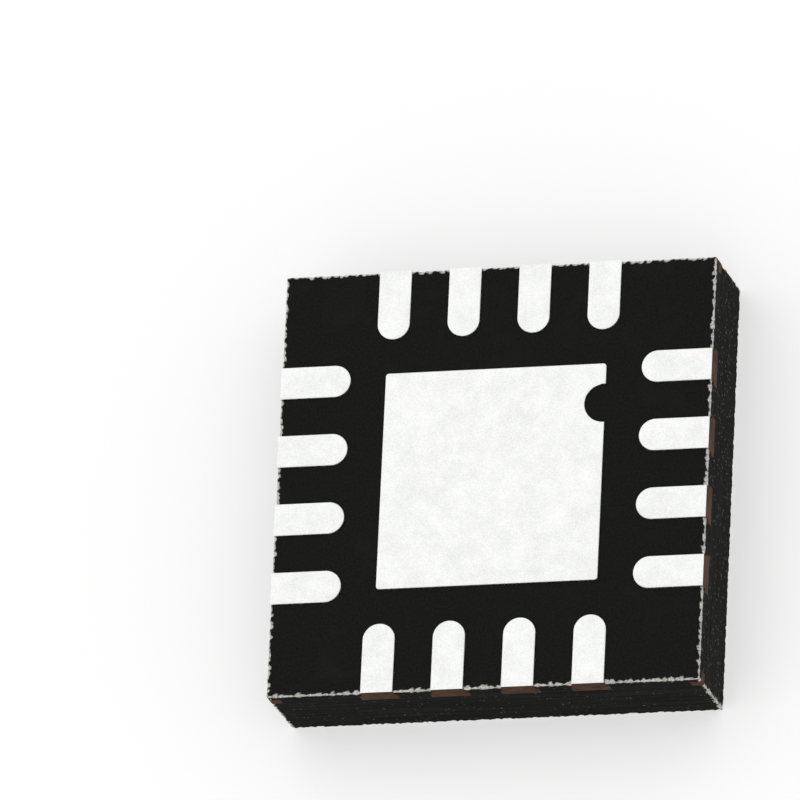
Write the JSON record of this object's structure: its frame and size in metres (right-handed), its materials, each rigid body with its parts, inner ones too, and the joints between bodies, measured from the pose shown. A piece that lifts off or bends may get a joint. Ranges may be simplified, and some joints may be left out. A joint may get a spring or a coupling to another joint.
{
  "type": "qfn chip",
  "caption": "Square leadless chip package lying on its bare top face, with rows of round-ended solder terminals and a notched exposed pad facing up.",
  "frame": {"origin": "middle of the blank top face of the package, which is the face it lies on", "axes": "+Z out of the terminal side, so the chip lies on its back with its terminals up; +X towards the side with leads 1 to 4 and the notched edge of the exposed pad, lead 1 at its +Y end; leads are numbered clockwise as seen from +Z"},
  "size_m": [0.004, 0.004, 0.0009],
  "materials": {
    "moulding": "black silica-filled epoxy, fine matte top, satin terminal side, sawn walls",
    "tin_plated_copper": "matte tin plating on copper, bare sawn copper in the walls",
    "silver_epoxy": "grey silver-filled epoxy, cured",
    "silicon": "polished silicon, sawn flanks",
    "gold_wire": "drawn gold wire"
  },
  "bodies": {
    "root": {"mould_body": "moulding", "die_pad": "tin_plated_copper", "lead_01": "tin_plated_copper", "lead_02": "tin_plated_copper", "lead_03": "tin_plated_copper", "lead_04": "tin_plated_copper", "lead_05": "tin_plated_copper", "lead_06": "tin_plated_copper", "lead_07": "tin_plated_copper", "lead_08": "tin_plated_copper", "lead_09": "tin_plated_copper", "lead_10": "tin_plated_copper", "lead_11": "tin_plated_copper", "lead_12": "tin_plated_copper", "lead_13": "tin_plated_copper", "lead_14": "tin_plated_copper", "lead_15": "tin_plated_copper", "lead_16": "tin_plated_copper", "die_attach": "silver_epoxy", "silicon_die": "silicon", "bond_wire_01": "gold_wire", "bond_wire_02": "gold_wire", "bond_wire_03": "gold_wire", "bond_wire_04": "gold_wire", "bond_wire_05": "gold_wire", "bond_wire_06": "gold_wire", "bond_wire_07": "gold_wire", "bond_wire_08": "gold_wire", "bond_wire_09": "gold_wire", "bond_wire_10": "gold_wire", "bond_wire_11": "gold_wire", "bond_wire_12": "gold_wire", "bond_wire_13": "gold_wire", "bond_wire_14": "gold_wire", "bond_wire_15": "gold_wire", "bond_wire_16": "gold_wire"}
  },
  "joints": []
}
